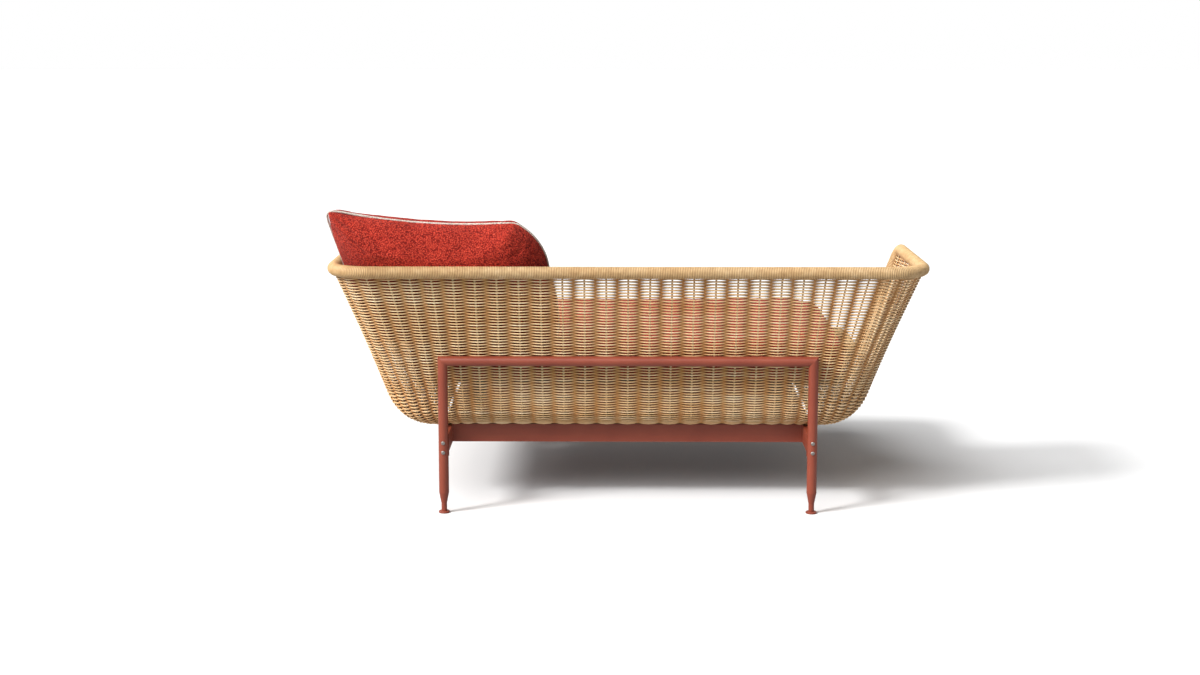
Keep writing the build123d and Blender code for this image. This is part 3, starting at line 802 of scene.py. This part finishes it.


# %% [markdown]
# The cushion cover is a looped outdoor fabric. Its loops are a few millimetres across and cast
# small shadows, so two layers of cells make the loops, one coarser than the other, and the gaps
# between them are deeper and darker, with that shadow painted into the colour. A noise shifts the
# cells a little, so that no loop is straight-sided. The piping has the same fabric in an off-white.

# %% Looped fabric
def looped_fabric(name, dark, middle, light):
    """A looped fabric in three tones, from the painted shade in the gaps to the tops of the loops.
    """
    finish = new_finish(name, 0.95, Sheen_Weight=0.04, Sheen_Roughness=0.5, Specular_IOR_Level=0.2)
    wobble = add(finish, "TexNoise", Scale=90.0, Detail=2.0)
    join(finish, stretched(finish, (1, 1, 1)), wobble.inputs["Vector"])
    shift = add(finish, "VectorMath", operation="SCALE", Scale=0.006)
    join(finish, wobble.outputs["Color"], shift.inputs[0])
    moved = add(finish, "VectorMath", operation="ADD")
    join(finish, stretched(finish, (1, 1, 1)), moved.inputs[0])
    join(finish, shift.outputs["Vector"], moved.inputs[1])
    loops = add(finish, "TexVoronoi", Scale=280.0, feature="F1")
    join(finish, moved.outputs["Vector"], loops.inputs["Vector"])
    small = add(finish, "TexVoronoi", Scale=640.0, feature="F1")
    join(finish, moved.outputs["Vector"], small.inputs["Vector"])
    # Painted shade: the colour goes from the light tone on the top of a loop to the dark tone in
    # the gaps.
    loop_shade_tones = [(0.0, light), (0.3, middle), (0.72, dark)]
    colour = tint(finish, loops.outputs["Distance"], loop_shade_tones)
    cloud_tones = [(0.3, linear(222, 214, 210)), (0.7, white)]
    shade = tint(finish, grain(finish, (1, 1, 1), 14, 3), cloud_tones)
    colour_of(finish, darkened(finish, 0.8, colour, shade))
    height = add(finish, "Math", operation="SUBTRACT")
    height.inputs[0].default_value = 1.0
    join(finish, loops.outputs["Distance"], height.inputs[1])
    first = relief(finish, height.outputs["Value"], 0.0035, 0.8)
    relief(finish, small.outputs["Distance"], 0.001, 0.5, under=first)
    return finish


red_fabric = looped_fabric(
    "red_looped_fabric", linear(124, 24, 18), linear(214, 66, 48), linear(246, 114, 86)
)
piping_fabric = looped_fabric(
    "pale_piping_fabric", linear(214, 204, 192), linear(240, 232, 222), linear(248, 242, 234)
)

# %% [markdown]
# The mattress lies on the slats, so its underside stays flat. Its two seams, round the top and the
# bottom of the boxing, are held in. Only the top and the four sides swell a little.

# %% Mattress
underside, lower_seam, upper_seam = 0.01, 0.018, 0.084
seam_half_width, side_depth, seam_hold = 0.005, 0.03, 0.9
mattress = merged_copy("seat_mattress", "mattress")
low, high = (np.array(corner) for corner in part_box("seat_mattress"))
remesh(mattress, voxel=0.006, smoothing=6)
start = points_of(mattress.data)
held = np.clip(1 - (start[:, 2] - low[2]) / underside, 0, 1)
from_side = np.minimum(
    np.minimum(start[:, 0] - low[0], high[0] - start[:, 0]),
    np.minimum(start[:, 1] - low[1], high[1] - start[:, 1]),
)
for seam_height in (low[2] + lower_seam, low[2] + upper_seam):
    near = np.abs(start[:, 2] - seam_height) < seam_half_width
    held = np.maximum(held, np.where(near & (from_side < side_depth), seam_hold, 0))


def rise_only(start, move):
    """Lets no point sink below its place."""
    move[:, 2] = np.maximum(move[:, 2], 0)
    return move


swell(mattress, held, pressure=3, reach=0.009, limit_move=rise_only)
one_subdivision(mattress)
made(mattress, "mattress", "mattress", red_fabric)
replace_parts(mattress, "seat_mattress")

# %% [markdown]
# The pillow leans on the rim and stands on the mattress. Its cover has five corners and edges that
# draw in between them. The seam line runs round the middle of it, in a plane that leans with the
# back, and it is needed both to hold the seam and to lay the piping. Corners and the middles of the
# edges are shares of the pillow's width and height, from its lower left corner.

# %% Seam line of the pillow
pillow_width, pillow_height, pillow_thickness = 0.622, 0.379, 0.176
pillow_overhang, pillow_lift = 0.017, 0.0069
deck_height, mattress_thickness = 0.350, 0.100
pillow_left = -(tub_half_width + pillow_overhang)
pillow_bottom = deck_height + mattress_thickness + pillow_lift
corner_shares = ((0.175, 0), (0.995, 0.03), (0.957, 0.547), (0.817, 0.897), (0, 1))
middle_shares = ((0.58, 0.012), (0.99, 0.3), (0.91, 0.765), (0.44, 0.892), (0.085, 0.5))
edge_steps = 14
lean = math.hypot(1, back_slope)
seam_y = -tub_half_depth + (crest + pillow_thickness / 2) * lean
seam_y += back_slope * (rim_height - pillow_bottom) + tub_forward
seam_origin = Vector((0, seam_y, pillow_bottom))
seam_up = Vector((0, -back_slope, 1)) / lean
seam_back = Vector((0, -1, -back_slope)) / lean


def arc_through(first, middle, last, steps):
    """Points of the circle arc through three points of the seam plane, without the last one."""
    (ax, ay), (bx, by), (cx, cy) = first, middle, last
    d = 2 * (ax * (by - cy) + bx * (cy - ay) + cx * (ay - by))
    a2, b2, c2 = ax * ax + ay * ay, bx * bx + by * by, cx * cx + cy * cy
    ux = (a2 * (by - cy) + b2 * (cy - ay) + c2 * (ay - by)) / d
    uy = (a2 * (cx - bx) + b2 * (ax - cx) + c2 * (bx - ax)) / d
    start, end = math.atan2(ay - uy, ax - ux), math.atan2(cy - uy, cx - ux)
    sweep = (end - start + math.pi) % (2 * math.pi) - math.pi
    radius = math.hypot(ax - ux, ay - uy)
    turns = [start + sweep * index / steps for index in range(steps)]
    return [(ux + radius * math.cos(turn), uy + radius * math.sin(turn)) for turn in turns]


def seam_place(share):
    """A place in the seam plane, in metres, from shares of the width and the height."""
    return (pillow_left + share[0] * pillow_width, share[1] * pillow_height * lean)


seam_flat = []
for first, middle, last in zip(corner_shares, middle_shares, corner_shares[1:] + corner_shares[:1]):
    seam_flat += arc_through(seam_place(first), seam_place(middle), seam_place(last), edge_steps)
seam_flat = np.array(seam_flat)
seam_flat = (np.roll(seam_flat, 1, axis=0) + 2 * seam_flat + np.roll(seam_flat, -1, axis=0)) / 4
seam_line = [seam_origin + Vector((float(x), 0, 0)) + seam_up * float(h) for x, h in seam_flat]
print("seam points", len(seam_line))

# %% [markdown]
# The remesh rounds the pillow's sharp edge off, so the net no longer reaches the seam. It is
# stretched out again in the seam plane. The plane is divided into sectors round the middle of the
# seam. In each one, the longest reach of the seam is compared with the net's, both evened out in
# the same way, and the points of all levels move out by that share.

# %% Stretch to the seam
sector_count, seam_samples, seam_inset = 160, 20, 0.997
sector_angle = (np.arange(sector_count) + 0.5) / sector_count * 2 * math.pi - math.pi


def reach_by_angle(angles, reaches, wanted):
    """The reach at each wanted angle, between those that are known round the circle."""
    order = np.argsort(angles)
    angles, reaches = angles[order], reaches[order]
    angles = np.concatenate([angles - 2 * math.pi, angles, angles + 2 * math.pi])
    return np.interp(wanted, angles, np.tile(reaches, 3))


def reach_by_sector(angle, reach):
    """The longest reach in each sector of the seam plane, evened out over its neighbours."""
    sector = ((angle + math.pi) / (2 * math.pi) * sector_count).astype(int) % sector_count
    longest = np.zeros(sector_count)
    np.maximum.at(longest, sector, reach)
    longest = np.maximum(longest, np.maximum(np.roll(longest, 1), np.roll(longest, -1)))
    return (np.roll(longest, 1) + longest + np.roll(longest, -1)) / 3


def pull_to_seam(points):
    """Stretches the outline of a soft net, level by level alike, until it meets the seam line."""
    flat = points - np.array(seam_origin)
    across, up = flat[:, 0], flat @ np.array(seam_up)
    middle = seam_flat.mean(axis=0)
    angle = np.arctan2(up - middle[1], across - middle[0])
    reach = np.hypot(up - middle[1], across - middle[0])
    seam_angle = np.arctan2(seam_flat[:, 1] - middle[1], seam_flat[:, 0] - middle[0])
    seam_reach = np.hypot(seam_flat[:, 1] - middle[1], seam_flat[:, 0] - middle[0])
    circle = np.linspace(-math.pi, math.pi, seam_samples * sector_count, endpoint=False)
    wanted = reach_by_sector(circle, reach_by_angle(seam_angle, seam_reach, circle))
    stretch = reach_by_angle(sector_angle, wanted / reach_by_sector(angle, reach), angle)
    stretch = 1 + (stretch * seam_inset - 1) * np.clip(reach / reach.max() * 2, 0, 1)
    print("the outline is stretched by", round(float(stretch.max() - 1) * 100, 1), "% at most")
    moved = points + np.outer((across - middle[0]) * (stretch - 1), (1, 0, 0))
    return moved + np.outer((up - middle[1]) * (stretch - 1), np.array(seam_up))


# %% [markdown]
# The pillow swells on both sides of its seam. It may not swell into what it leans and stands on,
# so its back gets room only away from the height where it touches the rim, little of it below, by
# the wall, and its lowest part does not sink.

# %% Pillow
held_at_seam, hold_fade = 1.3, 0.012
touch_height, touch_half_height, room_slope, most_room = 0.678, 0.025, 0.35, 0.02
wall_top, wall_room, back_depth, lowest_part = 0.66, 0.006, 0.02, 0.50
pillow = merged_copy("pillow", "pillow_cushion")
remesh(pillow, voxel=0.005, smoothing=30)
put_points(pillow.data, pull_to_seam(points_of(pillow.data)))
start = points_of(pillow.data)
depth = (start - np.array(seam_origin)) @ np.array(seam_back)
held = np.clip(held_at_seam - np.abs(depth) / hold_fade, 0, 1)


def clear_of_rest(start, move):
    """No swelling towards the rim where the pillow rests on it, and none down into the mattress."""
    back = np.array(seam_back)
    room = (np.abs(start[:, 2] - touch_height) - touch_half_height) * room_slope
    room = np.clip(room, 0, most_room)
    room = np.where(start[:, 2] < wall_top, np.minimum(room, wall_room), room)
    rests = (start - np.array(seam_origin)) @ back > back_depth
    extra = np.where(rests, np.maximum(move @ back - room, 0), 0)
    move = move - extra[:, None] * back
    low = start[:, 2] < lowest_part
    move[:, 2] = np.where(low, np.maximum(move[:, 2], 0), move[:, 2])
    return move


swell(pillow, held, pressure=4, reach=0.016, limit_move=clear_of_rest)
one_subdivision(pillow)
made(pillow, "pillow_cushion", "pillow", red_fabric)
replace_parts(pillow, "pillow")

# %% [markdown]
# The piping is a fabric-covered cord sewn into the seam. It is a curve along the seam line, with a
# round bevel.

# %% Piping of the pillow
piping_radius = 0.003
piping_curve = bpy.data.curves.new("pillow_seam", "CURVE")
piping_curve.dimensions = "3D"
piping_curve.bevel_depth = piping_radius
piping_curve.bevel_resolution = 3
seam_spline = piping_curve.splines.new("NURBS")
seam_spline.points.add(len(seam_line) - 1)
for point, place in zip(seam_spline.points, seam_line):
    point.co = (*place, 1)
seam_spline.use_cyclic_u = True
seam_spline.order_u = 3
seam_spline.resolution_u = 4
piping = smooth_mesh(linked("pillow_seam", piping_curve))
made(piping, "pillow_seam_piping", "pillow", piping_fabric)
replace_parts(piping, "pillow_piping")

# %% [markdown]
# Under the mattress, resin slats lie on three steel trestles. They are hardly seen, and the CAD
# solids have their shape already, so they only get their finishes.

# %% Deck finishes
dark_coat = new_finish("dark_powder_coat", 0.5)
dark_cloud = grain(dark_coat, (1, 1, 1), 12, 3)
dark_tones = [(0.3, linear(84, 72, 64)), (0.7, linear(98, 86, 78))]
colour_of(dark_coat, tint(dark_coat, dark_cloud, dark_tones))
relief(dark_coat, grain(dark_coat, (1, 1, 1), 900, 2), 0.0002, 0.35)
resin = new_finish("brown_resin", 0.6)
resin_grain = grain(resin, (30, 3, 30), 1, 4)
resin_tones = [(0.3, linear(112, 96, 82)), (0.7, linear(132, 114, 98))]
colour_of(resin, tint(resin, resin_grain, resin_tones))
relief(resin, grain(resin, (1, 1, 1), 500, 3), 0.0003, 0.4)
coat("deck_slats", resin)
for name in nodes:
    if "trestle" in name:
        coat(name, dark_coat)

# %% [markdown]
# A leg is screwed to its end beam by two button-head bolts, one above the other. The head is a low
# dome with a socket for the key. It starts as a cylinder, its outer edge is bevelled into a dome,
# and the socket is inset and pushed in.

# %% One bolt head
leg_radius, head_radius, head_height = 0.0135, 0.00525, 0.0033
head_middle, head_top = 0.00145, 0.0031  # out from the leg's surface
dome_bevel, socket_rim, socket_depth = 0.0019, 0.0012, 0.0016
flat_within = 0.0001


def bolt_head(x, y, side, height):
    """A bolt head on the outer side of a leg whose middle is at x and y."""
    top = y + side * (leg_radius + head_top)
    bpy.ops.object.select_all(action="DESELECT")
    bpy.ops.mesh.primitive_cylinder_add(
        vertices=24, radius=head_radius, depth=head_height, end_fill_type="NGON",
        location=(x, y + side * (leg_radius + head_middle), height),
        rotation=(-side * math.pi / 2, 0, 0),
    )
    head = bpy.context.object
    bpy.ops.object.transform_apply(location=True, rotation=True, scale=True)
    bpy.ops.object.mode_set(mode="EDIT")
    bpy.ops.mesh.select_all(action="DESELECT")
    bpy.ops.object.mode_set(mode="OBJECT")
    for edge in head.data.edges:
        ends = [head.data.vertices[i].co.y for i in edge.vertices]
        edge.select = all(abs(value - top) < flat_within for value in ends)
    bpy.ops.object.mode_set(mode="EDIT")
    bpy.ops.mesh.select_mode(type="EDGE")
    bpy.ops.mesh.bevel(offset=dome_bevel, segments=4, profile=0.5)
    bpy.ops.mesh.select_all(action="DESELECT")
    bpy.ops.object.mode_set(mode="OBJECT")
    for face in head.data.polygons:
        face.select = abs(face.center.y - top) < flat_within
    bpy.ops.object.mode_set(mode="EDIT")
    bpy.ops.mesh.select_mode(type="FACE")
    bpy.ops.mesh.inset(thickness=socket_rim)
    bpy.ops.mesh.inset(thickness=0.00001)
    bpy.ops.transform.translate(value=(0, -side * socket_depth, 0))
    bpy.ops.object.mode_set(mode="OBJECT")
    bpy.ops.object.shade_smooth_by_angle(angle=math.radians(35))
    return head


# %% [markdown]
# The bolts are bright zinc-plated steel. Each leg stands over its foot, so the feet say where the
# heads go. All heads are joined into one piece.

# %% Bolts
zinc = new_finish("bright_zinc", 0.32, Metallic=1.0)
zinc_cloud = grain(zinc, (1, 1, 1), 300, 3)
zinc_tones = [(0.3, linear(138, 134, 130)), (0.7, linear(170, 166, 162))]
colour_of(zinc, tint(zinc, zinc_cloud, zinc_tones))
roughness_of(zinc, zinc_cloud, 0.26, 0.42)

bolt_heights = (0.170, 0.1965)
bolt_heads = []
for foot in feet:
    least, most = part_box(foot)
    x, y = (least[0] + most[0]) / 2, (least[1] + most[1]) / 2
    side = -1 if y < 0 else 1
    bolt_heads += [bolt_head(x, y, side, height) for height in bolt_heights]
bpy.ops.object.select_all(action="DESELECT")
for head in bolt_heads:
    head.select_set(True)
bpy.context.view_layer.objects.active = bolt_heads[0]
bpy.ops.object.join()
made(bolt_heads[0], "leg_bolt_heads", "frame", zinc)

# %% [markdown]
# The daybed stands on a plain white studio floor. The floor is brighter for the camera than for the
# light that it throws back, so that it reads as white, keeps the shadow, and doesn't light the
# underside of the daybed too much.

# %% Floor
floor_grey, floor_grey_seen, floor_glow_seen = 0.5, 0.86, 0.04
bpy.ops.object.select_all(action="DESELECT")
bpy.ops.mesh.primitive_plane_add(size=60, location=(0, 8, 0))
floor = bpy.context.object
bpy.ops.object.transform_apply(location=True, rotation=True, scale=True)
floor.name = "studio_floor"
floor_finish = new_finish("studio_white", 0.9, Specular_IOR_Level=0.0, Emission_Color=white)
camera_ray = add(floor_finish, "LightPath").outputs["Is Camera Ray"]
floor_stops = [(0.0, [floor_grey] * 3 + [1]), (1.0, [floor_grey_seen] * 3 + [1])]
colour_of(floor_finish, tint(floor_finish, camera_ray, floor_stops))
glow = add(floor_finish, "Math", operation="MULTIPLY")
join(floor_finish, camera_ray, glow.inputs[0])
glow.inputs[1].default_value = floor_glow_seen
join(floor_finish, glow.outputs["Value"], shader_of(floor_finish).inputs["Emission Strength"])
floor.data.materials.append(floor_finish)
print("floor grey", floor_grey, "as a surface,", floor_grey_seen, "for the camera")

# %% [markdown]
# The world behind the floor is white for the camera, and for what is seen in a gloss or through
# glass. As a light it is dim, and only fills the deepest shade.

# %% World
world_light = 0.15
world = bpy.data.worlds.new("studio")
bpy.context.scene.world = world
world.use_nodes = True
background = world.node_tree.nodes["Background"]
background.inputs["Color"].default_value = white
paths = add(world, "LightPath")
seen = paths.outputs["Is Camera Ray"]
for ray in ("Is Glossy Ray", "Is Transmission Ray"):
    either = add(world, "Math", operation="MAXIMUM")
    join(world, seen, either.inputs[0])
    join(world, paths.outputs[ray], either.inputs[1])
    seen = either.outputs["Value"]
level = add(world, "MapRange", To_Min=world_light, To_Max=1.0)
join(world, seen, level.inputs["Value"])
join(world, level.outputs["Result"], background.inputs["Strength"])
print("world strength", world_light, "as a light, 1 where it is seen")

# %% [markdown]
# Two lamps stand left of the camera and above it, as the shadow in the photograph shows. The key is
# fairly small in the sky and throws the shadow, with a soft edge. The fill comes from almost the
# same side but from a large part of the sky, as from a big white panel, so it lifts the colours
# without a second shadow. Both are suns, because a sun lights the near and the far end alike.

# %% Lamps
def sun_lamp(name, energy, degrees_wide, towards):
    """A sun that stands in the given direction."""
    lamp_data = bpy.data.lights.new(name, "SUN")
    lamp_data.energy = energy
    lamp_data.angle = math.radians(degrees_wide)
    lamp = linked(name, lamp_data)
    lamp.rotation_euler = Vector(towards).to_track_quat("Z", "Y").to_euler()
    print(name, "lamp, energy", energy, "and", degrees_wide, "degrees wide")


sun_lamp("key", 2.9, 14, (-0.70, -0.42, 0.62))
sun_lamp("fill", 3.0, 60, (-0.55, -0.55, 0.85))

# %% [markdown]
# The plain view transform shows a colour about as it is written.

# %% View transform
bpy.context.scene.view_settings.view_transform = "Standard"
